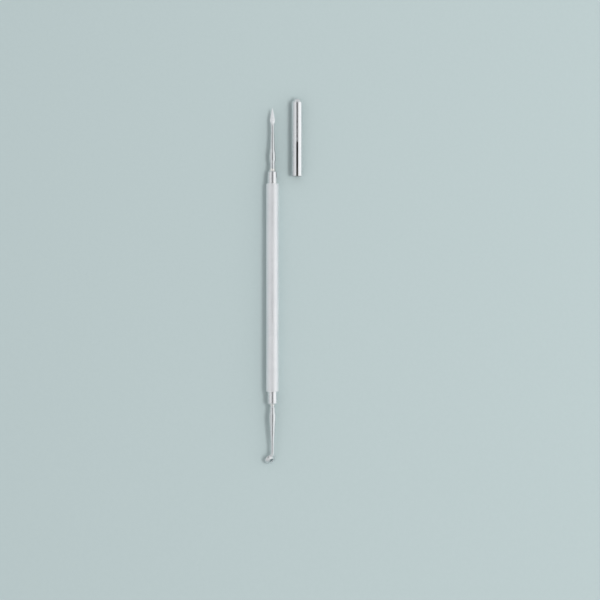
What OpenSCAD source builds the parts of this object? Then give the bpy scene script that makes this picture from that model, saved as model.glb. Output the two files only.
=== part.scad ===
// Blackhead extractor: a round handle with a lancet at one end and a pierced spoon at the
// other, and the lancet's push-on cap lying loose beside it. Millimetres.
// The tool's axis is Y with the lancet towards +Y, and Z is up.
// The origin is on that axis, halfway along the handle.

/* [Handle] */
// Length of the satin handle tube
handle_len = 74; // [50:1:100]
// Outside diameter of the handle tube
handle_d = 4.4; // [4.2:0.1:6]
// Rounding of the handle's two end edges
handle_edge_r = 0.15; // [0.05:0.05:0.25]

/* [Ferrules] */
// Diameter of both ferrules, to which the cap is fitted
ferrule_d = 3.5; // [3.4:0.05:3.8]
// Length of ferrule that shows beyond each end of the handle
ferrule_len = 4.4; // [3:0.2:6]
// Diameter of each ferrule's plug, to which the handle tube is bored
plug_d = 3; // [2.8:0.05:3.1]
// Length of that plug
plug_len = 9; // [8.2:0.2:20]
// Bevel round each ferrule's nose
ferrule_bevel = 0.25; // [0.1:0.05:0.3]
// Nose diameter of the lancet's ferrule, which leads the cap on
lead_d = 3.3; // [3.1:0.05:3.3]
// Length of that leading taper
lead_len = 2; // [1:0.1:2.5]

/* [Solder] */
// Depth that each bit is let into its ferrule
tang_depth = 7; // [4:0.5:12]
// Thickness of solder between a bit and its ferrule
solder_gap = 0.1; // [0.05:0.05:0.15]
// Width and height of the solder fillet on a ferrule's nose
solder_fillet = 0.18; // [0.1:0.02:0.2]

/* [Lancet] */
// Reach of the lancet from its ferrule's nose to its tip
lancet_reach = 22.6; // [21:0.2:26]
// Diameter of the lancet's shank where it leaves the solder
lancet_shank_d = 2; // [1.8:0.05:2.1]
// Length of that shank
lancet_shank_len = 2.2; // [1.5:0.1:2.4]
// Diameter of the groove under the swell
lancet_groove_d = 1.9; // [1.6:0.05:1.95]
// Place of the groove, from the ferrule's nose
lancet_groove_at = 2.7; // [2.5:0.1:3]
// Diameter of the swell
lancet_swell_d = 2.4; // [2.15:0.05:2.8]
// Start of the swell's full diameter, from the ferrule's nose
lancet_swell_at = 4.1; // [3.6:0.1:4.5]
// Length of the swell's full diameter
lancet_swell_len = 1.2; // [0.5:0.1:2]
// Diameter behind the swell, where the steep fall ends
lancet_waist_d = 1.66; // [1.45:0.02:1.9]
// Place of that diameter, from the ferrule's nose
lancet_waist_at = 9; // [8:0.2:10]
// Diameter of the neck behind the blade
lancet_neck_d = 1.35; // [1:0.05:1.4]
// Start of the neck, from the ferrule's nose
lancet_neck_at = 14; // [12:0.5:15]
// Greatest width of the blade
blade_w = 1.75; // [1.4:0.05:2.2]
// Thickness of the blade along its ridge, at its greatest width
blade_t = 0.6; // [0.4:0.05:1]
// Length from the blade's greatest width to its tip
blade_len = 4.4; // [3.5:0.1:5]
// Length from the round neck to the blade's greatest width
blade_root_len = 1.3; // [0.8:0.1:1.6]

/* [Spoon] */
// Diameter of the spoon's root where it leaves the solder
spoon_root_d = 1.62; // [1.4:0.02:1.8]
// Length of that root
spoon_root_len = 0.7; // [0.4:0.05:0.9]
// Diameter of the collar ahead of the root
spoon_collar_d = 2.05; // [1.9:0.05:2.3]
// Start of the collar, from the ferrule's nose
spoon_collar_at = 1.4; // [1.1:0.1:1.6]
// Length of the collar
spoon_collar_len = 1.1; // [0.6:0.1:1.4]
// Diameter of the spoon's swell
spoon_swell_d = 2.56; // [2.35:0.05:3]
// Start of the swell's full diameter, from the ferrule's nose
spoon_swell_at = 4; // [3.4:0.1:4.5]
// Length of the swell's full diameter
spoon_swell_len = 1.4; // [0.6:0.1:2]
// Diameter of the waist behind the swell
spoon_waist_d = 1.96; // [1.6:0.02:2.2]
// Place of the waist, from the ferrule's nose
spoon_waist_at = 9; // [8:0.2:10]
// Diameter of the thin neck, as far as the cup
spoon_neck_d = 1.15; // [0.9:0.05:1.4]
// Start of the thin neck, from the ferrule's nose
spoon_neck_at = 15.4; // [13:0.2:16]
// Place where the neck turns towards the cup, from the ferrule's nose
spoon_bend_at = 17.9; // [17.4:0.1:22]
// Radius of that turn, along the neck's centre line
spoon_bend_r = 1.4; // [1:0.1:2]
// Angle between the cup's rim and the handle
spoon_angle = 36; // [20:1:50]
// Roll of the cup from straight down, towards -X
spoon_roll = 36; // [0:1:60]
// Length of neck from the middle of its turn to the cup's rim
cup_neck_len = 0.2; // [0:0.1:1]
// Diameter across the cup's rim
cup_d = 4; // [3.6:0.1:5]
// Height of the cup's crown over its rim, at mid-wall
cup_rise = 0.8; // [0.5:0.05:1.2]
// Thickness of the cup's wall
cup_wall = 0.4; // [0.3:0.05:0.5]
// Thickness of the rounded rim
cup_rim_t = 0.5; // [0.5:0.05:0.7]
// Diameter of the hole in the cup's crown
cup_hole_d = 1.55; // [1:0.05:1.8]
// Height of the neck's centre line over the cup's rim
cup_neck_up = 0.1; // [0:0.05:0.4]
// Length of neck that runs into the cup, from its rim
cup_neck_in = 0.85; // [0.6:0.05:1]

/* [Cap] */
// Radial clearance of the cap's bore on the ferrule
cap_fit = 0.025; // [0.01:0.005:0.05]
// Wall of the cap tube
cap_wall = 0.225; // [0.15:0.025:0.3]
// Room between the lancet's tip and the inside of the cap's end
cap_tip_room = 0.5; // [0.3:0.1:2]
// Radius of the cap tube's rolled shoulder
cap_shoulder_r = 0.5; // [0.35:0.05:0.6]
// Width of the spring slit
slit_w = 0.65; // [0.3:0.05:1]
// Length of the spring slit from the cap's mouth
slit_len = 12.1; // [8:0.1:16]
// Distance of the grip groove from the cap's mouth
groove_at = 2.5; // [1.5:0.1:4]
// Depth of the grip groove
groove_depth = 0.06; // [0.03:0.01:0.1]
// Diameter of the end button's dome
button_d = 2.85; // [2.6:0.05:2.95]
// Height of the end button's dome
button_h = 1.15; // [0.8:0.05:1.3]
// Wall of the end button
button_wall = 0.25; // [0.2:0.05:0.3]
// Diameter of the button's stem, to which the cap tube's end is closed
stem_d = 2.4; // [2.1:0.05:2.45]
// Length of the button's stem
stem_len = 0.45; // [0.3:0.05:0.6]

/* [Loose cap] */
// Sideways distance from the tool's axis to the loose cap's axis
cap_aside = 8.8; // [6:0.1:20]
// Distance of the loose cap's mouth ahead of the handle's shoulder
cap_ahead = 2.7; // [0:0.1:20]
// Height of the loose cap's underside over the handle's underside
cap_up = 0.1; // [0:0.05:0.5]

/* [Hidden] */
$fn = 96;

// Overlap that lets a cut pass clean through a face
cut = 0.1;
// Steps in which a smooth stretch of a turned outline, a rounded edge and a dome are drawn
curve_steps = 8;
edge_steps = 5;
dome_steps = 12;
// Bevel on a ferrule's hidden end
plug_bevel = 0.3;
// Thickness of the slices that the blade is drawn between
slice = 0.01;
// Width that the blade keeps halfway to its tip and at its tip, as shares of its greatest width
blade_mid = 0.56;
blade_tip = 0.01;
// Half length of the grip groove, and the rounding of the cap's mouth
groove_half = 0.2;
mouth_r = 0.08;

ferrule_r = ferrule_d / 2;
plug_r = plug_d / 2;
nose_at = handle_len / 2 + ferrule_len;
// The cup's dome at mid-wall: its rim radius, its own radius, and its centre below the rim
cup_mid_r = (cup_d - cup_rim_t) / 2;
cup_dome_r = (cup_mid_r * cup_mid_r + cup_rise * cup_rise) / (2 * cup_rise);
cup_dome_z = cup_rise - cup_dome_r;
cap_bore_r = ferrule_r + cap_fit;
cap_r = cap_bore_r + cap_wall;
cap_len = ferrule_len + lancet_reach + cap_tip_room + button_wall;
cap_tube_len = cap_len - button_h;

SATIN = [0.78, 0.78, 0.77];
POLISHED = [0.87, 0.88, 0.9];
STEEL = [0.8, 0.85, 0.88];
SOLDER = [0.72, 0.71, 0.68];

// The two ferrules' noses: +Z leaves the nose
module at_lancet_nose() translate([0, nose_at, 0]) rotate([-90, 0, 0]) children();
module at_spoon_nose() translate([0, -nose_at, 0]) rotate([90, 0, 0]) children();
// The loose cap's place: +Z runs from its mouth to its closed end
module at_loose_cap()
    translate([cap_aside, handle_len / 2 + cap_ahead, cap_r - handle_d / 2 + cap_up])
        rotate([-90, 0, 0]) children();

// Points of an arc of radius r about (x, y), from angle a0 to angle a1
function arc(x, y, r, a0, a1, steps = edge_steps) =
    [for (i = [0:steps]) let (a = a0 + (a1 - a0) * i / steps) [x + r * cos(a), y + r * sin(a)]];

// A smooth outline through stations [height, diameter], level at each station
function ease(t) = t * t * (3 - 2 * t);
function steps_between(a, b) = a[1] == b[1] ? 1 : curve_steps;
function turned_outline(stations) =
    [for (k = [0:len(stations) - 2])
        let (a = stations[k], b = stations[k + 1], n = steps_between(a, b))
        for (i = [(k == 0 ? 0 : 1):n])
            [(a[1] + (b[1] - a[1]) * ease(i / n)) / 2, a[0] + (b[0] - a[0]) * i / n]];
module turned(stations)
    rotate_extrude()
        polygon(concat([[0, stations[0][0]]], turned_outline(stations),
            [[0, stations[len(stations) - 1][0]]]));

module handle_tube() color(SATIN)
    rotate([-90, 0, 0]) rotate_extrude()
        polygon(concat(
            [[plug_r, -handle_len / 2]],
            arc(handle_d / 2 - handle_edge_r, -handle_len / 2 + handle_edge_r, handle_edge_r, -90, 0),
            arc(handle_d / 2 - handle_edge_r, handle_len / 2 - handle_edge_r, handle_edge_r, 0, 90),
            [[plug_r, handle_len / 2]]));

// A ferrule with its blind bore, its nose at Z 0
module ferrule(nose_r, taper_len, bore_r)
    rotate_extrude()
        polygon([
            [0, -ferrule_len - plug_len],
            [plug_r - plug_bevel, -ferrule_len - plug_len],
            [plug_r, -ferrule_len - plug_len + plug_bevel],
            [plug_r, -ferrule_len],
            [ferrule_r, -ferrule_len],
            [ferrule_r, -taper_len],
            [nose_r, -ferrule_bevel],
            [nose_r - ferrule_bevel, 0],
            [bore_r, 0],
            [bore_r, -tang_depth],
            [0, -tang_depth]]);

module lancet_ferrule() color(POLISHED)
    at_lancet_nose() ferrule(lead_d / 2, lead_len, lancet_shank_d / 2 + solder_gap);

module spoon_ferrule() color(POLISHED)
    at_spoon_nose() ferrule(ferrule_r, ferrule_bevel, spoon_root_d / 2 + solder_gap);

// The sleeve of solder round a tang, with its hollow fillet on the ferrule's nose
module solder(tang_r)
    rotate_extrude()
        polygon(concat(
            [[tang_r, -tang_depth], [tang_r + solder_gap, -tang_depth], [tang_r + solder_gap, 0]],
            arc(tang_r + solder_gap + solder_fillet, solder_fillet, solder_fillet, -90, -180),
            [[tang_r, solder_fillet]]));

module lancet_solder() color(SOLDER) at_lancet_nose() solder(lancet_shank_d / 2);
module spoon_solder() color(SOLDER) at_spoon_nose() solder(spoon_root_d / 2);

// One slice of the blade: a flat diamond with its ridges up and down
module blade_slice(at, share)
    translate([0, 0, at]) linear_extrude(slice)
        polygon([[blade_w / 2, 0], [0, blade_t / 2], [-blade_w / 2, 0], [0, -blade_t / 2]] * share);

module lancet() color(STEEL) at_lancet_nose() {
    widest_at = lancet_reach - blade_len;
    root_at = widest_at - blade_root_len;
    turned([
        [-tang_depth, lancet_shank_d],
        [lancet_shank_len, lancet_shank_d],
        [lancet_groove_at, lancet_groove_d],
        [lancet_swell_at, lancet_swell_d],
        [lancet_swell_at + lancet_swell_len, lancet_swell_d],
        [lancet_waist_at, lancet_waist_d],
        [lancet_neck_at, lancet_neck_d],
        [root_at, lancet_neck_d]]);
    hull() {
        translate([0, 0, root_at - slice]) cylinder(h = slice, d = lancet_neck_d, $fn = 32);
        blade_slice(widest_at, 1);
    }
    hull() {
        blade_slice(widest_at, 1);
        blade_slice(widest_at + blade_len / 2, blade_mid);
        blade_slice(lancet_reach - slice, blade_tip);
    }
}

// The pierced cup: its rim's centre is at the origin, its crown is towards +Z,
// and the neck comes in from -X
module cup() {
    translate([0, 0, cup_dome_z]) intersection() {
        sphere(cup_dome_r + cup_wall / 2);
        cylinder(h = cup_d, r1 = 0, r2 = cup_d * cup_mid_r / -cup_dome_z);
    }
    rotate_extrude() translate([cup_mid_r, 0]) circle(d = cup_rim_t);
}

// What is cut from the cup and the neck's end: the hollow and the hole
module cup_hollow() {
    translate([0, 0, cup_dome_z]) sphere(cup_dome_r - cup_wall / 2);
    cylinder(h = cup_d, d = cup_hole_d);
}

// The cup's place on the neck's line: its rim lies along the turned neck
module at_cup()
    translate([0, 0, spoon_bend_at]) rotate([0, spoon_angle, 0])
        translate([cup_neck_up, 0, cup_neck_len + cup_d / 2]) rotate([0, -90, 0]) children();

// The turned neck, its bend and the straight end that runs out into the cup's wall
module spoon_neck() {
    turn_back = spoon_bend_r * tan(spoon_angle / 2);
    turn_start = spoon_bend_at - turn_back;
    turned([
        [-tang_depth, spoon_root_d],
        [spoon_root_len, spoon_root_d],
        [spoon_collar_at, spoon_collar_d],
        [spoon_collar_at + spoon_collar_len, spoon_collar_d],
        [spoon_swell_at, spoon_swell_d],
        [spoon_swell_at + spoon_swell_len, spoon_swell_d],
        [spoon_waist_at, spoon_waist_d],
        [spoon_neck_at, spoon_neck_d],
        [turn_start, spoon_neck_d]]);
    translate([spoon_bend_r, 0, turn_start]) rotate([90, 0, 0]) rotate([0, 0, 180 - spoon_angle])
        rotate_extrude(angle = spoon_angle) translate([spoon_bend_r, 0]) circle(d = spoon_neck_d);
    translate([0, 0, spoon_bend_at]) rotate([0, spoon_angle, 0]) translate([0, 0, turn_back])
        cylinder(h = cup_neck_len + cup_neck_in - turn_back, d = spoon_neck_d);
}

module spoon() color(STEEL) at_spoon_nose() rotate([0, 0, 270 - spoon_roll]) difference() {
    union() {
        spoon_neck();
        at_cup() cup();
    }
    at_cup() cup_hollow();
}

module cap_tube() color(POLISHED) at_loose_cap() difference() {
    rotate_extrude()
        polygon(concat(
            [[cap_bore_r, 0]],
            arc(cap_r - mouth_r, mouth_r, mouth_r, -90, 0),
            [[cap_r, groove_at - groove_half], [cap_r - groove_depth, groove_at],
                [cap_r, groove_at + groove_half]],
            arc(cap_r - cap_shoulder_r, cap_tube_len - cap_shoulder_r, cap_shoulder_r, 0, 90),
            [[stem_d / 2, cap_tube_len], [stem_d / 2, cap_tube_len - cap_wall]],
            arc(cap_r - cap_shoulder_r, cap_tube_len - cap_shoulder_r, cap_shoulder_r - cap_wall, 90, 0)));
    translate([-slit_w / 2, -cap_r - cut, -cut]) cube([slit_w, cap_r + cut, slit_len - slit_w / 2 + cut]);
    translate([0, 0, slit_len - slit_w / 2]) rotate([90, 0, 0]) cylinder(h = cap_r + cut, d = slit_w);
}

// The hollow button: a dome seated on the cap tube's end, and the stem pressed into it
module cap_end_button() color(POLISHED) at_loose_cap() translate([0, 0, cap_tube_len]) {
    button_r = button_d / 2;
    dome_r = (button_r * button_r + button_h * button_h) / (2 * button_h);
    dome_z = button_h - dome_r;
    inner_r = dome_r - button_wall;
    bore_r = stem_d / 2 - button_wall;
    rotate_extrude()
        polygon(concat(
            [[bore_r, -stem_len], [stem_d / 2, -stem_len], [stem_d / 2, 0]],
            arc(0, dome_z, dome_r, asin(-dome_z / dome_r), 90, dome_steps),
            arc(0, dome_z, inner_r, 90, acos(bore_r / inner_r), dome_steps)));
}

handle_tube();
lancet_ferrule();
spoon_ferrule();
lancet_solder();
spoon_solder();
lancet();
spoon();
cap_tube();
cap_end_button();
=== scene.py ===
"""A double-ended blackhead extractor with its push-on cap beside it, on a plain pale floor.

The tool's axis is Y with the lancet towards +Y. Sizes are in millimetres until a mesh is made.
"""

import math

import bpy
import numpy as np
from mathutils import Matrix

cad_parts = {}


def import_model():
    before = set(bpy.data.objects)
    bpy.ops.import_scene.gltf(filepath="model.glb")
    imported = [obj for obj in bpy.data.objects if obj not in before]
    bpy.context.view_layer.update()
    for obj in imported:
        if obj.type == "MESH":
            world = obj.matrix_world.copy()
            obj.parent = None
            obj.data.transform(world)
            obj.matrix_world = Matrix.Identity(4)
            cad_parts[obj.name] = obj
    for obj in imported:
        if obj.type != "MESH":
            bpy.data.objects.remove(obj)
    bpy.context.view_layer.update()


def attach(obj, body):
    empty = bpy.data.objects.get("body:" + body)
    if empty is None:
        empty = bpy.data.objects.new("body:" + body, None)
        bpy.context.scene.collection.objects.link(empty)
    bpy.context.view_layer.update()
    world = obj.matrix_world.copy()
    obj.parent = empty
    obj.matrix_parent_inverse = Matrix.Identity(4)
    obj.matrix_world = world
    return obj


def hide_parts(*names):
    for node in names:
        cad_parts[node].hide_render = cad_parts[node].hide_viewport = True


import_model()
MM = 0.001

# The object's sizes, as in the CAD
HANDLE_LEN, HANDLE_D, HANDLE_EDGE_R = 74.0, 4.4, 0.15
FERRULE_D, FERRULE_LEN, FERRULE_BEVEL = 3.5, 4.4, 0.25
PLUG_D, PLUG_LEN, PLUG_BEVEL = 3.0, 9.0, 0.3
LEAD_D, LEAD_LEN = 3.3, 2.0
TANG_DEPTH, SOLDER_GAP, SOLDER_FILLET = 7.0, 0.1, 0.18
LANCET_SHANK_D, LANCET_REACH = 2.0, 22.6
LANCET_NECK_D, LANCET_NECK_AT = 1.35, 14.0
BLADE_W, BLADE_T, BLADE_LEN, BLADE_ROOT_LEN = 1.75, 0.6, 4.4, 1.3
BLADE_MID = 0.56
SPOON_ROOT_D, SPOON_NECK_D, SPOON_NECK_AT = 1.62, 1.15, 15.4
BEND_AT, BEND_R, BEND_ANGLE, SPOON_ROLL = 17.9, 1.4, math.radians(36), math.radians(36)
CUP_D, CUP_RISE, CUP_WALL, CUP_RIM_T, CUP_HOLE_D = 4.0, 0.8, 0.4, 0.5, 1.55
CUP_NECK_LEN, CUP_NECK_UP, CUP_NECK_IN = 0.2, 0.1, 0.85
CAP_BORE_R, CAP_WALL, CAP_TUBE_LEN, CAP_SHOULDER_R = 1.775, 0.225, 26.6, 0.5
SLIT_W, SLIT_LEN, CAP_GROOVE_AT, CAP_GROOVE_DEPTH = 0.65, 12.1, 2.5, 0.06
BUTTON_D, BUTTON_H, BUTTON_WALL, STEM_D, STEM_LEN = 2.85, 1.15, 0.25, 2.4, 0.45
CAP_X, CAP_MOUTH_Y, CAP_Z = 8.8, 39.7, -0.1

NOSE_AT = HANDLE_LEN / 2 + FERRULE_LEN
CAP_R = CAP_BORE_R + CAP_WALL

# Shapes of the turned bits, as (height over the ferrule's nose, diameter)
LANCET_TURNED = [(-TANG_DEPTH, LANCET_SHANK_D), (2.2, LANCET_SHANK_D), (2.7, 1.9), (4.1, 2.4), (5.3, 2.4),
                 (9.0, 1.66), (LANCET_NECK_AT, LANCET_NECK_D)]
SPOON_TURNED = [(-TANG_DEPTH, SPOON_ROOT_D), (0.7, SPOON_ROOT_D), (1.4, 2.05), (2.5, 2.05), (4.0, 2.56),
                (5.4, 2.56), (9.0, 1.96), (SPOON_NECK_AT, SPOON_NECK_D)]

# Lathe divisions round the large and the small pieces, and steps in a rounded corner
AROUND_LARGE, AROUND_SMALL, CORNER_STEPS = 192, 128, 6
# A corner of this radius or less counts fully as a worn edge
WEAR_R = 0.3
# Radii of small edges that only the scene rounds
BORE_EDGE_R, CRISP_EDGE_R, SOFT_EDGE_R, TAPER_R = 0.04, 0.02, 0.1, 0.6
BORE_LIP_R, BUTTON_EDGE_R, CAP_RIM_BEVEL = 0.05, 0.06, 0.05
# How far the solder runs up each bit in the scene, and how far its end sinks under the surface
LANCET_SOLDER_RUN, SPOON_SOLDER_RUN, SOLDER_SINK = 1.2, 0.7, 0.02


# Materials

def node(tree, kind, inputs=None, **settings):
    """A shader node with its settings, and its inputs as values or as sockets to link from."""
    n = tree.nodes.new(kind)
    for key, value in settings.items():
        setattr(n, key, value)
    for key, value in (inputs or {}).items():
        if isinstance(value, bpy.types.NodeSocket):
            tree.links.new(value, n.inputs[key])
        else:
            n.inputs[key].default_value = value
    return n


def ramp(tree, fac, low, high, low_value=0.0, high_value=1.0):
    """Maps fac from low..high to low_value..high_value, held at both ends."""
    n = node(tree, "ShaderNodeMapRange", {"Value": fac, "From Min": low, "From Max": high,
                                          "To Min": low_value, "To Max": high_value}, clamp=True)
    return n.outputs["Result"]


def noise(tree, place, scale, stretch=(1, 1, 1), turn=(0, 0, 0), detail=3.0, rough=0.55, warp=0.0):
    """Noise in object space, in metres; stretch squeezes its pattern along each axis."""
    spun = node(tree, "ShaderNodeMapping", {"Vector": place, "Rotation": turn, "Scale": stretch})
    n = node(tree, "ShaderNodeTexNoise", {"Vector": spun.outputs[0], "Scale": scale, "Detail": detail,
                                          "Roughness": rough, "Distortion": warp})
    return n.outputs["Fac"]


def maths(tree, operation, a, b=0.5):
    return node(tree, "ShaderNodeMath", {0: a, 1: b}, operation=operation).outputs[0]


def blend(tree, share, first, second):
    """The colour first where share is 0 and second where it is 1. A colour is a socket or red, green
    and blue."""
    first, second = (c if isinstance(c, bpy.types.NodeSocket) else (*c, 1) for c in (first, second))
    return node(tree, "ShaderNodeMix", {0: share, 6: first, 7: second}, data_type="RGBA").outputs[2]


def scratches(tree, place, scale, turn, keep):
    """Sparse hairlines: a ridge of stretched noise, kept only where a broad noise lets it show."""
    lines = noise(tree, place, scale, (0.04, 1, 1), turn, detail=1.0, rough=0.4)
    from_middle = maths(tree, "ABSOLUTE", maths(tree, "SUBTRACT", lines, 0.5))
    ridge = ramp(tree, from_middle, 0.004, 0.03, 1.0, 0.0)
    patch = ramp(tree, noise(tree, place, scale * 0.06, (1, 1, 1), turn), 1 - keep, 1.1 - keep)
    return maths(tree, "MULTIPLY", ridge, patch)


# Scales of the patterns that all metals share, in features per metre: cloudy patches, stains and rubbing
CLOUD_SCALE, STAIN_SCALE, RUB_SCALE = 160, 1400, 700
# A stain's colour as a share of the metal's deep one, and the share of roughness that rubbing takes off
STAIN_TINT, RUB_GLOSS = (0.82, 0.76, 0.66), 0.35


def metal(name, tint, deep, worn, roughness, grain, grain_depth, smudge=0.08, haze=0.0, hairlines=0.0,
          hair_scale=900, tarnish=0.0):
    """A procedural metal. tint and deep are its two close colours and worn that of its rubbed edges.
    grain is (scale, stretch) of the fine finishing marks and grain_depth their height in metres.
    smudge, haze and hairlines are the roughness that cloudy patches, those marks and the sparse
    scratches of hair_scale add, or take off where it is below 0. tarnish is the strength of stains."""
    mat = bpy.data.materials.new(name)
    mat.use_nodes = True
    tree = mat.node_tree
    shader = tree.nodes["Principled BSDF"]
    shader.inputs["Metallic"].default_value = 1.0
    place = node(tree, "ShaderNodeTexCoord").outputs["Object"]
    wear = node(tree, "ShaderNodeAttribute", attribute_name="wear").outputs["Fac"]
    broad = noise(tree, place, CLOUD_SCALE, (1, 0.6, 1), detail=4.0, warp=0.6)
    fine = noise(tree, place, grain[0], grain[1], detail=4.0, rough=0.65)
    shade = maths(tree, "ADD", ramp(tree, broad, 0.35, 0.65, 0.0, 0.6),
                  ramp(tree, fine, 0.35, 0.65, 0.0, 0.4))
    colour = blend(tree, shade, deep, tint)
    if tarnish:
        spots = noise(tree, place, STAIN_SCALE, detail=2.0)
        stain = maths(tree, "MULTIPLY", ramp(tree, spots, 0.55, 0.75), tarnish)
        colour = blend(tree, stain, colour, tuple(c * f for c, f in zip(deep, STAIN_TINT)))
    patches = ramp(tree, noise(tree, place, RUB_SCALE, detail=3.0), 0.35, 0.6)
    rubbed = maths(tree, "MULTIPLY", wear, patches)
    tree.links.new(blend(tree, rubbed, colour, worn), shader.inputs["Base Color"])
    rough = maths(tree, "ADD", ramp(tree, broad, 0.3, 0.7, roughness, roughness + smudge),
                  ramp(tree, fine, 0.44, 0.6, 0.0, haze))
    rough = maths(tree, "SUBTRACT", rough, maths(tree, "MULTIPLY", rubbed, roughness * RUB_GLOSS))
    height = fine
    if hairlines:
        hair = maths(tree, "MAXIMUM", scratches(tree, place, hair_scale, (0.3, 0.2, 0.5), 0.45),
                     scratches(tree, place, hair_scale * 0.8, (0.1, 0.5, 1.9), 0.4))
        rough = maths(tree, "ADD", rough, maths(tree, "MULTIPLY", hair, hairlines))
        height = maths(tree, "SUBTRACT", height, hair)
    tree.links.new(node(tree, "ShaderNodeClamp", {"Value": rough, "Min": 0.03, "Max": 0.95}).outputs[0],
                   shader.inputs["Roughness"])
    bump = node(tree, "ShaderNodeBump", {"Height": height, "Strength": 1.0, "Distance": grain_depth})
    tree.links.new(bump.outputs[0], shader.inputs["Normal"])
    return mat


# Marks left by turning run round the axis, so they are fine along Y and long across it
TURNED = (1, 14, 1)
SATIN = metal("satin_nickel", (0.95, 0.955, 0.97), (0.85, 0.86, 0.88), (0.97, 0.975, 0.98), 0.56,
              (9000, (1, 1, 1)), 1.3e-5, smudge=0.1, haze=0.06, hairlines=-0.2, hair_scale=420)
POLISHED = metal("polished_nickel", (0.84, 0.85, 0.86), (0.79, 0.80, 0.815), (0.88, 0.89, 0.90), 0.13,
                 (3000, TURNED), 1.2e-7, smudge=0.07, haze=0.26, hairlines=0.15)
COLLAR = metal("collar_nickel", (0.84, 0.85, 0.86), (0.79, 0.80, 0.815), (0.88, 0.89, 0.90), 0.2,
               (2400, TURNED), 2.4e-7, smudge=0.06, haze=0.28, hairlines=0.1)
STEEL = metal("polished_steel", (0.77, 0.795, 0.805), (0.70, 0.725, 0.74), (0.83, 0.85, 0.86), 0.2,
              (2600, TURNED), 2.4e-7, smudge=0.08, haze=0.24, hairlines=0.12, tarnish=0.25)
GROUND = metal("ground_steel", (0.79, 0.81, 0.82), (0.73, 0.75, 0.765), (0.86, 0.88, 0.89), 0.24,
               (2400, (1, 9, 1)), 1.2e-6, smudge=0.06, haze=0.1)
SOLDER = metal("silver_solder", (0.93, 0.925, 0.905), (0.85, 0.845, 0.82), (0.95, 0.945, 0.93), 0.22,
               (1800, (1, 1, 1)), 2.5e-6, smudge=0.1, haze=0.06, tarnish=0.15)
# The cap's bore: unplated, tarnished metal, painted far darker than bare metal as shade inside the tube,
# so that the slit shows a dark line
BORE_TARNISH_AND_SHADE = metal("bore_tarnish_and_painted_shade", (0.33, 0.32, 0.30), (0.22, 0.21, 0.20), (0.4, 0.39, 0.37), 0.42,
               (1500, TURNED), 1.5e-6, smudge=0.1, haze=0.06, tarnish=0.5)


# Mesh making

def arc(x, y, r, a0, a1, steps=CORNER_STEPS):
    """Points of an arc about (x, y), from a0 to a1 in degrees."""
    return [(x + r * math.cos(a), y + r * math.sin(a))
            for a in (math.radians(a0 + (a1 - a0) * i / steps) for i in range(steps + 1))]


def rounded(points, radii, steps=CORNER_STEPS):
    """An outline with each corner rounded by its radius, or left as it is where that is 0."""
    out = []
    for i, r in enumerate(radii):
        p0, p, p1 = (np.array(points[(i + k) % len(points)], float) for k in (-1, 0, 1))
        if not r:
            out.append(tuple(p))
            continue
        u, v = (p0 - p) / np.linalg.norm(p0 - p), (p1 - p) / np.linalg.norm(p1 - p)
        half = math.acos(max(-1, min(1, float(u @ v)))) / 2
        cut = min(r / math.tan(half), 0.45 * np.linalg.norm(p0 - p), 0.45 * np.linalg.norm(p1 - p))
        r = cut * math.tan(half)
        mid = p + (u + v) / np.linalg.norm(u + v) * r / math.sin(half)
        a0, a1 = (math.atan2(*(q - mid)[::-1]) for q in (p + u * cut, p + v * cut))
        turn = (a1 - a0 + math.pi) % (2 * math.pi) - math.pi
        out += [(mid[0] + r * math.cos(a), mid[1] + r * math.sin(a))
                for a in (a0 + turn * k / steps for k in range(steps + 1))]
    return out


def ease(t):
    """A smooth step from 0 to 1, level at both ends."""
    return t * t * (3 - 2 * t)


def turned_outline(stations, steps=20):
    """A smooth outline through stations (height, diameter), level at each station."""
    out = []
    for (h0, d0), (h1, d1) in zip(stations, stations[1:]):
        n = steps if d0 != d1 else max(1, int((h1 - h0) / 0.5))
        out += [((d0 + (d1 - d0) * ease(i / n)) / 2, h0 + (h1 - h0) * i / n) for i in range(n)]
    return out + [(stations[-1][1] / 2, stations[-1][0])]


def outline_normals(profile, closed):
    """Outward normals at an outline's points, weighted by the lengths of the two sides."""
    p = np.array(profile)
    side = np.roll(p, -1, 0) - p
    length = np.linalg.norm(side, axis=1)
    out = np.stack([side[:, 1], -side[:, 0]], 1)
    if not closed:
        out[-1] = 0
    n = out * length[:, None] + np.roll(out * length[:, None], 1, 0)
    return n / np.linalg.norm(n, axis=1)[:, None]


def outline_wear(profile, closed):
    """How sharply each point of an outline stands proud, from 0 to 1."""
    p = np.array(profile)
    a, b = p - np.roll(p, 1, 0), np.roll(p, -1, 0) - p
    turn = np.arctan2(a[:, 0] * b[:, 1] - a[:, 1] * b[:, 0], (a * b).sum(1))
    reach = (np.linalg.norm(a, axis=1) + np.linalg.norm(b, axis=1)) / 2
    sharp = np.clip(turn / reach * WEAR_R, 0, 1)
    if not closed:
        sharp[0] = sharp[-1] = 0
    return sharp


def area(profile):
    """The area inside an outline, above 0 where it runs anticlockwise."""
    p, q = np.array(profile), np.roll(np.array(profile), -1, 0)
    return float((p[:, 0] * q[:, 1] - q[:, 0] * p[:, 1]).sum()) / 2


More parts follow.
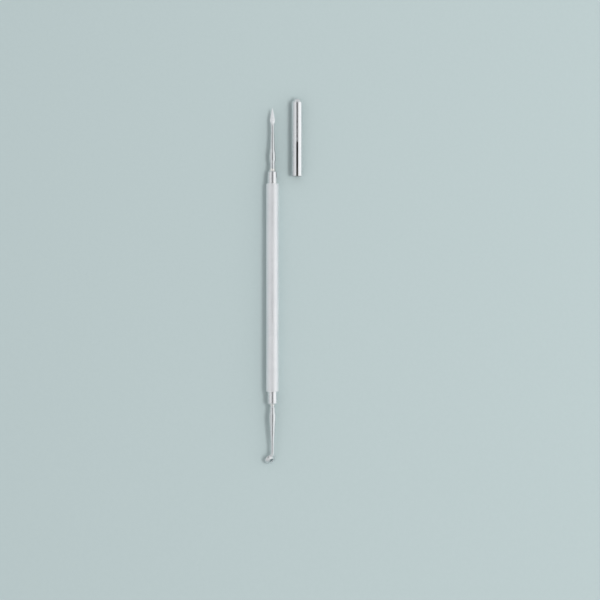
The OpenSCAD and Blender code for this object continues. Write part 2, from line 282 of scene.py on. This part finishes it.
def revolve(profile, around, closed):
    """Vertices, faces, normals and wear of a turned solid about local Z. An open profile starts and
    ends on the axis."""
    if area(profile) < 0:
        profile = profile[::-1]
    normals, wear = outline_normals(profile, closed), outline_wear(profile, closed)
    verts, out, worn, rings = [], [], [], []
    for (r, h), (nr, nh), w in zip(profile, normals, wear):
        if r < 1e-9:
            rings.append([len(verts)] * around)
            verts.append((0, 0, h))
            out.append((0, 0, math.copysign(1, nh)))
            worn.append(w)
            continue
        rings.append(range(len(verts), len(verts) + around))
        for j in range(around):
            a = 2 * math.pi * j / around
            verts.append((r * math.cos(a), r * math.sin(a), h))
            out.append((nr * math.cos(a), nr * math.sin(a), nh))
            worn.append(w)
    faces = []
    for i in range(len(rings) if closed else len(rings) - 1):
        a, b = rings[i], rings[(i + 1) % len(rings)]
        for j in range(around):
            k = (j + 1) % around
            corners = tuple(dict.fromkeys((a[j], a[k], b[k], b[j])))
            if len(corners) > 2:
                faces.append(corners)
    return np.array(verts), faces, np.array(out), np.array(worn)


def make_piece(name, verts, faces, mats, normals=None, wear=None, face_mats=None):
    """A Blender object from vertices in millimetres in the shared frame."""
    mesh = bpy.data.meshes.new(name)
    mesh.from_pydata((np.asarray(verts) * MM).tolist(), [], faces)
    mesh.polygons.foreach_set("use_smooth", [True] * len(faces))
    for m in mats:
        mesh.materials.append(m)
    if face_mats is not None:
        mesh.polygons.foreach_set("material_index", face_mats)
    if wear is not None:
        mesh.attributes.new("wear", "FLOAT", "POINT").data.foreach_set("value", np.asarray(wear, float))
    if normals is not None:
        mesh.normals_split_custom_set_from_vertices(np.asarray(normals).tolist())
    mesh.update()
    piece = bpy.data.objects.new(name, mesh)
    bpy.context.scene.collection.objects.link(piece)
    return piece


def at_lancet_end(v):
    """Local +Z leaves the lancet ferrule's nose."""
    return np.stack([v[:, 0], v[:, 2], -v[:, 1]], 1)


def at_spoon_end(v):
    """Local +Z leaves the spoon ferrule's nose."""
    return np.stack([v[:, 0], -v[:, 2], v[:, 1]], 1)


LANCET_NOSE, SPOON_NOSE = np.array([0, NOSE_AT, 0]), np.array([0, -NOSE_AT, 0])
MIDDLE, CAP_MOUTH = np.zeros(3), np.array([CAP_X, CAP_MOUTH_Y, CAP_Z])


def lathe(name, profile, mat, turn, origin, around, closed=True, wobble=0.0, seed=0):
    """A turned piece. wobble adds a slow unevenness, in millimetres, to what stands over the nose."""
    verts, faces, normals, wear = revolve(profile, around, closed)
    if wobble:
        waves = np.random.default_rng(seed).uniform(0, 2 * math.pi, 4)
        angle = np.arctan2(verts[:, 1], verts[:, 0])
        lift = sum(np.sin((k + 2) * angle + w) / (k + 2) for k, w in enumerate(waves))
        rise = np.clip(verts[:, 2] / SOLDER_FILLET, 0, 1)
        verts = verts + normals * (wobble * lift * rise)[:, None]
    return make_piece(name, turn(verts) + origin, faces, [mat], turn(normals), wear)


def finish_piece(piece, body, slot, *nodes):
    """Says which body a piece rides on and which nodes it replaces. slot is not used."""
    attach(piece, body)
    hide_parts(*nodes)


# Handle, ferrules, solder

def handle():
    """The satin tube, open at both ends, where the plugs fill it."""
    bore, out, end = PLUG_D / 2, HANDLE_D / 2, HANDLE_LEN / 2
    corners = [(bore, -end), (out, -end), (out, end), (bore, end)]
    outline = rounded(corners, [BORE_EDGE_R, HANDLE_EDGE_R, HANDLE_EDGE_R, BORE_EDGE_R], 8)
    return lathe("handle_tube_turned", outline, SATIN, at_lancet_end, MIDDLE, AROUND_LARGE)


def ferrule(name, nose_r, taper_len, bore_r, turn, origin):
    """The plug, the shoulder, the bright collar with its leading taper, and the blind bore."""
    r, plug = FERRULE_D / 2, PLUG_D / 2
    corners = [(0, -FERRULE_LEN - PLUG_LEN), (plug - PLUG_BEVEL, -FERRULE_LEN - PLUG_LEN),
               (plug, -FERRULE_LEN - PLUG_LEN + PLUG_BEVEL), (plug, -FERRULE_LEN), (r, -FERRULE_LEN),
               (r, -taper_len), (nose_r, -FERRULE_BEVEL), (nose_r - FERRULE_BEVEL, 0), (bore_r, 0),
               (bore_r, -TANG_DEPTH), (0, -TANG_DEPTH)]
    radii = [0, SOFT_EDGE_R, SOFT_EDGE_R, CRISP_EDGE_R, CRISP_EDGE_R, TAPER_R, SOFT_EDGE_R, SOFT_EDGE_R,
             CRISP_EDGE_R, BORE_LIP_R, 0]
    if taper_len <= FERRULE_BEVEL:
        # the collar is straight up to its bevel, so it has no corner where a taper starts
        del corners[5]
        del radii[5]
    outline = rounded(corners, radii)
    return lathe(name, outline, COLLAR, turn, origin, AROUND_SMALL, closed=False)


def solder(name, tang_r, run, turn, origin, seed):
    """The sleeve of solder in the bore and its hollow run up the bit. The run is slightly uneven
    and ends just under the bit's surface, so that its edge there has no step."""
    out, end = tang_r + SOLDER_GAP, tang_r - SOLDER_SINK
    foot = out + SOLDER_FILLET - end
    outline = [(tang_r, -TANG_DEPTH), (out, -TANG_DEPTH), (out, 0)]
    outline += [(end + foot * (1 - t) ** 2, run * t) for t in np.linspace(0, 1, 15)]
    return lathe(name, outline, SOLDER, turn, origin, AROUND_SMALL, wobble=0.75 * SOLDER_SINK, seed=seed)


# Lancet

# The blade's flare starts this far before its root. Its point ends in this share of the full width
FLARE_LEAD, TIP_SHARE = 0.9, 0.012
FLARE_STEPS, POINT_STEPS = 26, 34
# A section's x and y are cosine and sine to this power: 1 is round, and 2 would be a sharp diamond
ROUND_POWER, BLADE_POWER = 1.0, 1.93
# The wear of a blade's ridges and edges, and how near to them it reaches, as a cosine or sine
RIDGE_WEAR, RIDGE_HALF = 0.9, 0.08
# Faces that meet at more than this angle keep a crisp edge between them
BLADE_CREASE = math.radians(28)


def lancet():
    """The turned shank and swell, then a forged and ground point whose section passes from round to
    a flat diamond with its ridges up and down."""
    widest = LANCET_REACH - BLADE_LEN
    root = widest - BLADE_ROOT_LEN
    flare = root - FLARE_LEAD
    outline = turned_outline(LANCET_TURNED + [(flare, LANCET_NECK_D)])
    # each row is a section: its height, half width, half thickness and power
    rows = [(h, r, r, ROUND_POWER) for r, h in outline]
    neck = LANCET_NECK_D / 2
    for i in range(1, FLARE_STEPS + 1):
        t = i / FLARE_STEPS
        swell = ease(t)
        # the section is flat a little before it is widest
        flatness = ease(min(1, t * 1.15))
        rows.append((flare + (widest - flare) * t, neck + (BLADE_W / 2 - neck) * swell,
                     neck + (BLADE_T / 2 - neck) * swell,
                     ROUND_POWER + (BLADE_POWER - ROUND_POWER) * flatness))
    for i in range(1, POINT_STEPS + 1):
        t = i / POINT_STEPS
        # the sides bow out a little over the middle and run in nearly straight to the tip
        share = 1 - t * (1 - (2 * BLADE_MID - 1) * 2 * (1 - t)) if t < 1 else TIP_SHARE
        rows.append((widest + BLADE_LEN * t, BLADE_W / 2 * share, BLADE_T / 2 * share, BLADE_POWER))
    around = AROUND_SMALL
    verts, faces, wear, skin = [(0, 0, -TANG_DEPTH)], [], [0.0], []
    for h, a, b, power in rows:
        # 0 where the section is round and 1 where it has ridges that can wear
        blade = min(1.0, max(0.0, (power - 1.5) / 0.4))
        for j in range(around):
            c, s = math.cos(2 * math.pi * j / around), math.sin(2 * math.pi * j / around)
            x = a * math.copysign(abs(c) ** power, c)
            y = b * math.copysign(abs(s) ** power, s)
            verts.append((x, y, h))
            wear.append(blade * (RIDGE_WEAR if min(abs(c), abs(s)) < RIDGE_HALF else 0.0))
    verts.append((0, 0, LANCET_REACH))
    wear.append(1.0)
    for j in range(around):
        k = (j + 1) % around
        faces.append((0, 1 + k, 1 + j))
        skin.append(0)
    for i in range(len(rows) - 1):
        a, b = 1 + i * around, 1 + (i + 1) * around
        for j in range(around):
            k = (j + 1) % around
            faces.append((a + j, a + k, b + k, b + j))
            skin.append(1 if rows[i][0] > root else 0)
    last, tip = 1 + (len(rows) - 1) * around, len(verts) - 1
    for j in range(around):
        faces.append((last + j, last + (j + 1) % around, tip))
        skin.append(1)
    piece = make_piece("lancet_ground", at_lancet_end(np.array(verts)) + LANCET_NOSE, faces,
                       [STEEL, GROUND], wear=wear, face_mats=skin)
    piece.data.set_sharp_from_angle(angle=BLADE_CREASE)
    return piece


# Spoon

# The cup is part of a dome, given here by the middle of its wall: its radius, the height of its
# centre over the rim, and the angle from crown to rim. The neck turns from TURN_START on
CUP_MID_R = (CUP_D - CUP_RIM_T) / 2
DOME_R = (CUP_MID_R ** 2 + CUP_RISE ** 2) / (2 * CUP_RISE)
DOME_Z = CUP_RISE - DOME_R
DOME_HALF = math.asin(CUP_MID_R / DOME_R)
TURN_BACK = BEND_R * math.tan(BEND_ANGLE / 2)
TURN_START = BEND_AT - TURN_BACK
NECK_R = SPOON_NECK_D / 2
# How much thinner the neck gets inside the cup, and radii of the blends at the neck, inside the cup
# and round the hole
NECK_THINNING, NECK_BLEND, CUP_BLEND, HOLE_BLEND = 0.16, 0.42, 0.06, 0.12
# A distance past any that counts
FAR = 9.0
# The net's cells, and the box in local axes that it fills
NET_STEP, NET_FROM = 0.045, TURN_START - 0.8
NET_LOW, NET_HIGH = (-0.95, -2.3, NET_FROM), (3.1, 2.3, BEND_AT + 3.9)
# Widths of the worn bands along the rim and round the hole, and how far the latter lies outside it
RIM_WEAR_W, LIP_WEAR_W, LIP_WEAR_OUT = 0.2, 0.1, 0.05


def in_cup(p):
    """Local points in the cup's own frame, with its rim's centre at the origin and its crown towards
    +Z."""
    c, s = math.cos(BEND_ANGLE), math.sin(BEND_ANGLE)
    x, y, z = p[..., 0], p[..., 1], p[..., 2] - BEND_AT
    bx, bz = x * c - z * s - CUP_NECK_UP, x * s + z * c - CUP_NECK_LEN - CUP_D / 2
    return bz, y, -bx


def smooth_min(a, b, k):
    """The smaller of two distances, blended where they differ by less than k."""
    h = np.clip(0.5 + 0.5 * (b - a) / k, 0, 1)
    return b + (a - b) * h - k * h * (1 - h)


def spoon_field(p):
    """Signed distance to the forged end of the spoon: neck, bend and pierced cup run together."""
    x, y, z = p[..., 0], p[..., 1], p[..., 2]
    straight = np.hypot(np.hypot(x, y), np.maximum(z - TURN_START, 0)) - NECK_R
    qx, qz = BEND_R - x, z - TURN_START
    beta = np.arctan2(qz, qx)
    bend = np.hypot(np.hypot(qx, qz) - BEND_R, y) - NECK_R
    bend = np.where((beta >= 0) & (beta <= BEND_ANGLE), bend, FAR)
    ex, ez = BEND_R * (1 - math.cos(BEND_ANGLE)), TURN_START + BEND_R * math.sin(BEND_ANGLE)
    dx, dz = math.sin(BEND_ANGLE), math.cos(BEND_ANGLE)
    length = CUP_NECK_LEN + CUP_NECK_IN - TURN_BACK
    along = np.clip((x - ex) * dx + (z - ez) * dz, 0, length)
    far = np.sqrt((x - ex - along * dx) ** 2 + y ** 2 + (z - ez - along * dz) ** 2)
    run_in = far - (NECK_R - NECK_THINNING * along / length)
    neck = np.minimum(np.minimum(straight, bend), run_in)
    cx, cy, cz = in_cup(p)
    r, from_dome = np.hypot(cx, cy), np.hypot(np.hypot(cx, cy), cz - DOME_Z)
    angle = np.arctan2(r, cz - DOME_Z)
    thick = CUP_WALL / 2 + (CUP_RIM_T - CUP_WALL) / 2 * ease(np.clip(angle / DOME_HALF * 3 - 2, 0, 1))
    shell = np.where(angle <= DOME_HALF, np.abs(from_dome - DOME_R) - thick,
                     np.hypot(r - CUP_MID_R, cz) - CUP_RIM_T / 2)
    body = smooth_min(neck, shell, NECK_BLEND)
    body = -smooth_min(-body, from_dome - (DOME_R - CUP_WALL / 2), CUP_BLEND)
    hole = np.where(cz > -0.1, r - CUP_HOLE_D / 2, FAR)
    return -smooth_min(-body, hole, HOLE_BLEND)


def slope(field, p, gap=1e-3):
    """The field's gradient at points p."""
    out = np.empty_like(p)
    for k in range(3):
        d = np.zeros(3)
        d[k] = gap
        out[:, k] = (field(p + d) - field(p - d)) / (2 * gap)
    return out


def surface_net(field, low, high, step):
    """Vertices and quads of the field's zero surface, with the vertices drawn onto it exactly."""
    axes = [low[k] + step * np.arange(int((high[k] - low[k]) / step) + 2) for k in range(3)]
    grid = np.stack(np.meshgrid(*axes, indexing="ij"), -1)
    f = field(grid)
    n = np.array(f.shape) - 1
    total, count = np.zeros((*n, 3)), np.zeros(n)

    def corner(o):
        """The part of the grid that is corner o of every cell."""
        return tuple(slice(o[m], o[m] + n[m]) for m in range(3))

    for k in range(3):
        i, j = [m for m in range(3) if m != k]
        for a in (0, 1):
            for b in (0, 1):
                o0 = [0, 0, 0]
                o0[i], o0[j] = a, b
                o1 = list(o0)
                o1[k] = 1
                f0, f1 = f[corner(o0)], f[corner(o1)]
                cross = (f0 < 0) != (f1 < 0)
                t = np.where(cross, f0 / np.where(cross, f0 - f1, 1), 0)[..., None]
                point = grid[corner(o0)] * (1 - t) + grid[corner(o1)] * t
                total += np.where(cross[..., None], point, 0)
                count += cross
    used = count > 0
    index = np.full(n, -1)
    index[used] = np.arange(used.sum())
    verts = total[used] / count[used][:, None]
    faces = []
    for k in range(3):
        i, j = [(1, 2), (2, 0), (0, 1)][k]
        f0 = f[tuple(slice(0, n[m]) if m == k else slice(0, n[m] + 1) for m in range(3))]
        f1 = f[tuple(slice(1, n[m] + 1) if m == k else slice(0, n[m] + 1) for m in range(3))]
        cross = (f0 < 0) != (f1 < 0)
        for at in np.argwhere(cross):
            if at[i] == 0 or at[j] == 0 or at[i] >= n[i] or at[j] >= n[j]:
                continue
            quad = []
            for di, dj in ((-1, -1), (0, -1), (0, 0), (-1, 0)):
                cell = list(at)
                cell[i] += di
                cell[j] += dj
                quad.append(index[tuple(cell)])
            faces.append(quad if f0[tuple(at)] < 0 else quad[::-1])
    for _ in range(4):
        g = slope(field, verts)
        verts = verts - g * (field(verts) / np.maximum((g * g).sum(1), 1e-6))[:, None]
    return verts, [tuple(int(v) for v in q) for q in faces]


def open_loop(faces):
    """The vertices of the mesh's one open edge, in order."""
    sides = {(a, b) for face in faces for a, b in zip(face, face[1:] + face[:1])}
    ahead = {a: b for a, b in sides if (b, a) not in sides}
    start = min(ahead)
    loop = [start]
    while ahead[loop[-1]] != start:
        loop.append(ahead[loop[-1]])
    return loop


def zipped(ring, far, angle):
    """Triangles between two closed rings of vertices. Those of ring are evenly spaced from angle 0,
    and those of far go round in the order of their angles, which the function angle gives."""
    far = sorted(far, key=angle)

    def far_angle(j):
        """The angle of far's vertex j, counted on past a full turn."""
        return angle(far[j % len(far)]) + 2 * math.pi * (j // len(far))

    faces = []
    i = j = 0
    while i < len(ring) or j < len(far):
        next_i = 2 * math.pi * (i + 1) / len(ring) if i < len(ring) else math.inf
        next_j = far_angle(j + 1) if j < len(far) else math.inf
        a, b = ring[i % len(ring)], far[j % len(far)]
        if next_i <= next_j:
            i += 1
            faces.append((a, ring[i % len(ring)], b))
        else:
            j += 1
            faces.append((a, far[j % len(far)], b))
    return faces


def rolled(v):
    """Vectors of the spoon turned about its axis, from the bend in local XZ to its place."""
    turn = 3 * math.pi / 2 - SPOON_ROLL
    return np.stack([v[:, 0] * math.cos(turn) - v[:, 1] * math.sin(turn),
                     v[:, 0] * math.sin(turn) + v[:, 1] * math.cos(turn), v[:, 2]], 1)


def spoon():
    """The turned bit, joined ring to ring to the forged end."""
    net, net_faces = surface_net(spoon_field, NET_LOW, NET_HIGH, NET_STEP)
    net_normals = slope(spoon_field, net)
    net_normals /= np.linalg.norm(net_normals, axis=1)[:, None]
    around = AROUND_SMALL
    outline = turned_outline(SPOON_TURNED + [(NET_FROM - NET_STEP, SPOON_NECK_D)])
    tangent = np.gradient(np.array(outline), axis=0)
    verts, normals = [(0, 0, -TANG_DEPTH)], [(0, 0, -1)]
    for (r, h), (dr, dh) in zip(outline, tangent):
        size = math.hypot(dr, dh) or 1.0
        for j in range(around):
            a = 2 * math.pi * j / around
            verts.append((r * math.cos(a), r * math.sin(a), h))
            normals.append((dh / size * math.cos(a), dh / size * math.sin(a), -dr / size))
    faces = [(0, 1 + (j + 1) % around, 1 + j) for j in range(around)]
    for i in range(len(outline) - 1):
        a, b = 1 + i * around, 1 + (i + 1) * around
        faces += [(a + j, a + (j + 1) % around, b + (j + 1) % around, b + j) for j in range(around)]
    base = len(verts)

    def angle(v):
        """The angle of the net's vertex v about the bit's axis."""
        x, y = net[v - base][:2]
        return math.atan2(y, x) % (2 * math.pi)

    loop = [base + v for v in open_loop(net_faces)]
    faces += zipped(range(base - around, base), loop, angle)
    faces += [tuple(base + v for v in q) for q in net_faces]
    verts = np.concatenate([np.array(verts, float), net])
    normals = np.concatenate([np.array(normals, float), net_normals])
    cup_r = np.hypot(*in_cup(net)[:2])
    rim = np.clip(1 - np.abs(cup_r - CUP_D / 2) / RIM_WEAR_W, 0, 1)
    lip = np.clip(1 - np.abs(cup_r - CUP_HOLE_D / 2 - LIP_WEAR_OUT) / LIP_WEAR_W, 0, 1)
    wear = np.concatenate([np.zeros(base), np.maximum(rim, lip)])
    return make_piece("spoon_forged", at_spoon_end(rolled(verts)) + SPOON_NOSE, faces, [STEEL],
                      at_spoon_end(rolled(normals)), wear)


# Cap

# Half the groove's width, the width of the flat ring round the end hole, and the angle of a corner
# from which on it is rounded
GROOVE_HALF, END_RING_W, SHARP_ANGLE = 0.3, 0.1, math.radians(50)


def cap_tube():
    """The drawn tube: outer and inner skins with the slit's edges between them, then all its rims
    are rounded. Local +Z runs from the mouth to the closed end and the slit is towards -Y."""
    end_r, shoulder = STEM_D / 2, CAP_TUBE_LEN - CAP_SHOULDER_R
    centre = SLIT_LEN - SLIT_W / 2
    # rows of the outside up to the shoulder, with the counts of steps between their turns
    rows = [(h, CAP_R) for h in np.linspace(0, CAP_GROOVE_AT - GROOVE_HALF, 8)[:-1]]
    for t in np.linspace(-1, 1, 17):
        dip = CAP_GROOVE_DEPTH * (0.5 + 0.5 * math.cos(math.pi * t))
        rows.append((CAP_GROOVE_AT + GROOVE_HALF * t, CAP_R - dip))
    rows += [(h, CAP_R) for h in np.linspace(CAP_GROOVE_AT + GROOVE_HALF, centre, 34)[1:]]
    rows += [(centre + SLIT_W / 2 * math.sin(a), CAP_R) for a in np.linspace(0, math.pi / 2, 15)[1:]]
    slit_rows = len(rows)
    rows += [(h, CAP_R) for h in np.linspace(SLIT_LEN, shoulder, 44)[1:]]
    outer = [(r, h) for h, r in rows]
    outer += arc(CAP_R - CAP_SHOULDER_R, shoulder, CAP_SHOULDER_R, 0, 90, 14)[1:]
    outer += [(end_r + END_RING_W, CAP_TUBE_LEN), (end_r, CAP_TUBE_LEN)]
    inner = [(CAP_BORE_R, h) for h, r in rows]
    inner += arc(CAP_R - CAP_SHOULDER_R, shoulder, CAP_SHOULDER_R - CAP_WALL, 0, 90, 14)[1:]
    inner += [(end_r + END_RING_W, CAP_TUBE_LEN - CAP_WALL), (end_r, CAP_TUBE_LEN - CAP_WALL)]
    around, gap_at = AROUND_LARGE, 1.5 * math.pi

    def half_gap(i, radius):
        """Half the angle that the slit takes at row i, 0 past its end."""
        if i >= slit_rows - 1:
            return 0.0
        h = rows[i][0]
        half = SLIT_W / 2 if h <= centre else math.sqrt(max(0.0, (SLIT_W / 2) ** 2 - (h - centre) ** 2))
        return math.asin(half / radius)

    verts, index = [], [[], []]
    for skin, outline in enumerate((outer, inner)):
        for i, (r, h) in enumerate(outline):
            gap = half_gap(i, r)
            ring = []
            for j in range(around + 1):
                if j == around and gap == 0.0:
                    ring.append(ring[0])
                    continue
                a = gap_at + gap + (2 * math.pi - 2 * gap) * j / around
                ring.append(len(verts))
                verts.append((r * math.cos(a), r * math.sin(a), h))
            index[skin].append(ring)
    faces, skins = [], []
    for skin in (0, 1):
        for i in range(len(outer) - 1):
            a, b = index[skin][i], index[skin][i + 1]
            for j in range(around):
                quad = (a[j], a[j + 1], b[j + 1], b[j])
                faces.append(quad if skin == 0 else quad[::-1])
                skins.append(skin)
    out, bore = index
    for j in range(around):
        faces.append((bore[0][j], bore[0][j + 1], out[0][j + 1], out[0][j]))
        faces.append((out[-1][j], out[-1][j + 1], bore[-1][j + 1], bore[-1][j]))
        skins += [0, 0]
    for i in range(slit_rows - 1):
        faces.append((bore[i][0], out[i][0], out[i + 1][0], bore[i + 1][0]))
        faces.append((out[i][-1], bore[i][-1], bore[i + 1][-1], out[i + 1][-1]))
        skins += [0, 0]
    # the inner skin takes the bore's material: its tarnish plus painted shade
    piece = make_piece("cap_tube_drawn", at_lancet_end(np.array(verts)) + CAP_MOUTH, faces,
                       [POLISHED, BORE_TARNISH_AND_SHADE], face_mats=skins)
    piece.data.set_sharp_from_angle(angle=SHARP_ANGLE)
    rounding = piece.modifiers.new("rims", "BEVEL")
    rounding.width = CAP_RIM_BEVEL * MM
    rounding.segments = 3
    rounding.limit_method = "ANGLE"
    rounding.angle_limit = SHARP_ANGLE
    rounding.harden_normals = True
    rounding.material = 0
    return piece


def cap_button():
    """The hollow end button: its dome seats on the tube's end and its stem is pressed into it."""
    r, stem, bore = BUTTON_D / 2, STEM_D / 2, STEM_D / 2 - BUTTON_WALL
    dome_r = (r * r + BUTTON_H ** 2) / (2 * BUTTON_H)
    dome_z = BUTTON_H - dome_r
    start = math.degrees(math.asin(-dome_z / dome_r))
    edge = BUTTON_EDGE_R
    outline = [(bore, -STEM_LEN), (stem, -STEM_LEN), (stem, 0), (r - edge, 0)]
    outline += [(r - edge + edge * math.sin(a), edge - edge * math.cos(a))
                for a in np.linspace(0.3, math.pi / 2, 6)]
    dome = arc(0, dome_z, dome_r, start, 90, 40)
    outline += [p for p in dome if p[1] > 1.5 * edge]
    inner = dome_r - BUTTON_WALL
    outline += arc(0, dome_z, inner, 90, math.degrees(math.acos(bore / inner)), 20)
    return lathe("cap_button_domed", outline, POLISHED, at_lancet_end,
                 CAP_MOUTH + np.array([0, CAP_TUBE_LEN, 0]), AROUND_SMALL)


finish_piece(handle(), "tool", "satin_nickel", "handle_tube")
finish_piece(ferrule("lancet_ferrule_turned", LEAD_D / 2, LEAD_LEN, LANCET_SHANK_D / 2 + SOLDER_GAP,
                     at_lancet_end, LANCET_NOSE), "tool", "polished_nickel", "lancet_ferrule")
finish_piece(ferrule("spoon_ferrule_turned", FERRULE_D / 2, FERRULE_BEVEL, SPOON_ROOT_D / 2 + SOLDER_GAP,
                     at_spoon_end, SPOON_NOSE), "tool", "polished_nickel", "spoon_ferrule")
finish_piece(solder("lancet_solder_run", LANCET_SHANK_D / 2, LANCET_SOLDER_RUN, at_lancet_end,
                    LANCET_NOSE, 3), "tool", "silver_solder", "lancet_solder")
finish_piece(solder("spoon_solder_run", SPOON_ROOT_D / 2, SPOON_SOLDER_RUN, at_spoon_end,
                    SPOON_NOSE, 8), "tool", "silver_solder", "spoon_solder")
finish_piece(lancet(), "tool", "polished_steel", "lancet")
finish_piece(spoon(), "tool", "polished_steel", "spoon")
finish_piece(cap_tube(), "cap", "polished_nickel", "cap_tube")
finish_piece(cap_button(), "cap", "polished_nickel", "cap_end_button")


# Stage

FLOOR_TINTS = (0.455, 0.54, 0.545), (0.475, 0.56, 0.565)
FLOOR_R, FLOOR_SIDES = 3000.0, 96
# Where the floor touches the object, as (y, z) of the spoon's rim and of the cap's middle
RIM_TOUCH, CAP_TOUCH = (-61.92, -2.685), (65.8, -2.1)
# The lamps' colour, and the greys of the studio that the metal mirrors
LAMP_TINT = (1.0, 0.995, 0.985)
WALL, WALL_LEFT, WALL_ENDS, OVERHEAD = ((0.94, 0.95, 0.955), (0.56, 0.58, 0.595), (0.30, 0.31, 0.32),
                                        (0.02, 0.022, 0.025))
# In metres: the camera's height, the width that it sees there below, and the middle of its view
CAMERA_UP, CAMERA_WIDE, CAMERA_X, CAMERA_Y = 1.0, 0.2134, 0.0098, -0.0044


def floor_material():
    """Pale card, with a barely visible tooth."""
    mat = bpy.data.materials.new("pale_floor")
    mat.use_nodes = True
    tree = mat.node_tree
    shader = tree.nodes["Principled BSDF"]
    shader.inputs["Roughness"].default_value = 0.9
    shader.inputs["Specular IOR Level"].default_value = 0.15
    place = node(tree, "ShaderNodeTexCoord").outputs["Object"]
    tooth = noise(tree, place, 900, detail=2.0)
    tree.links.new(blend(tree, tooth, *FLOOR_TINTS), shader.inputs["Base Color"])
    return mat


def floor():
    """A wide disc under the tool. It touches the spoon's rim and the cap, and so slopes a little."""
    (rim_y, rim_z), (cap_y, cap_z) = RIM_TOUCH, CAP_TOUCH
    rise = (cap_z - rim_z) / (cap_y - rim_y)
    verts = [(0, 0, rim_z - rim_y * rise)]
    verts += [(FLOOR_R * math.cos(a), FLOOR_R * math.sin(a),
               rim_z + (FLOOR_R * math.sin(a) - rim_y) * rise)
              for a in (2 * math.pi * j / FLOOR_SIDES for j in range(FLOOR_SIDES))]
    faces = [(0, 1 + j, 1 + (j + 1) % FLOOR_SIDES) for j in range(FLOOR_SIDES)]
    piece = make_piece("floor", np.array(verts), faces, [floor_material()])


def softbox(name, place, size, radiance, reflected=True):
    """A rectangular lamp that faces the tool's middle, long in Y. radiance 1 shows as white. One
    that isn't reflected lights the floor and casts the shadow, and no metal mirrors it."""
    data = bpy.data.lights.new(name, "AREA")
    data.shape = "RECTANGLE"
    data.size, data.size_y = size
    data.energy = radiance * math.pi * size[0] * size[1]
    data.color = LAMP_TINT
    lamp = bpy.data.objects.new(name, data)
    lamp.location = place
    lamp.rotation_euler = (0, math.atan2(place[0], place[2]), 0)
    lamp.visible_camera = False
    lamp.visible_glossy = reflected
    bpy.context.scene.collection.objects.link(lamp)


def world():
    """Pale all round, less so low on the left and towards both ends of the tool, with a dark strip
    along Y over it."""
    w = bpy.data.worlds.new("studio")
    w.use_nodes = True
    tree = w.node_tree
    sky = node(tree, "ShaderNodeTexCoord").outputs["Generated"]
    parts = node(tree, "ShaderNodeSeparateXYZ", {0: sky})
    across, along, up = (parts.outputs[k] for k in range(3))
    sideways, lengthwise = maths(tree, "ABSOLUTE", across), maths(tree, "ABSOLUTE", along)
    wall = blend(tree, ramp(tree, across, -1.0, -0.6), WALL_LEFT, WALL)
    wall = blend(tree, ramp(tree, lengthwise, 0.5, 0.95, 0.0, 0.6), wall, WALL_ENDS)
    strip = maths(tree, "MULTIPLY", ramp(tree, sideways, 0.2, 0.38, 1, 0),
                  ramp(tree, lengthwise, 0.35, 0.6, 1, 0))
    strip = maths(tree, "MULTIPLY", strip, ramp(tree, up, 0.0, 0.3))
    tree.links.new(blend(tree, strip, wall, OVERHEAD), tree.nodes["Background"].inputs["Color"])
    bpy.context.scene.world = w


def camera():
    """Straight down on the tool through a long lens, as in the photograph."""
    data = bpy.data.cameras.new("camera")
    data.sensor_width = 36.0
    data.lens = data.sensor_width * CAMERA_UP / CAMERA_WIDE
    data.clip_start, data.clip_end = 0.05, 20.0
    cam = bpy.data.objects.new("camera", data)
    cam.location = (CAMERA_X, CAMERA_Y, CAMERA_UP)
    bpy.context.scene.collection.objects.link(cam)
    bpy.context.scene.camera = cam


floor()
world()
softbox("side", place=(0.56, 0, 0.26), size=(0.52, 1.0), radiance=0.24)
softbox("key", place=(0.56, 0, 1.06), size=(0.32, 0.6), radiance=9.9, reflected=False)
camera()
bpy.context.scene.view_settings.view_transform = "Standard"
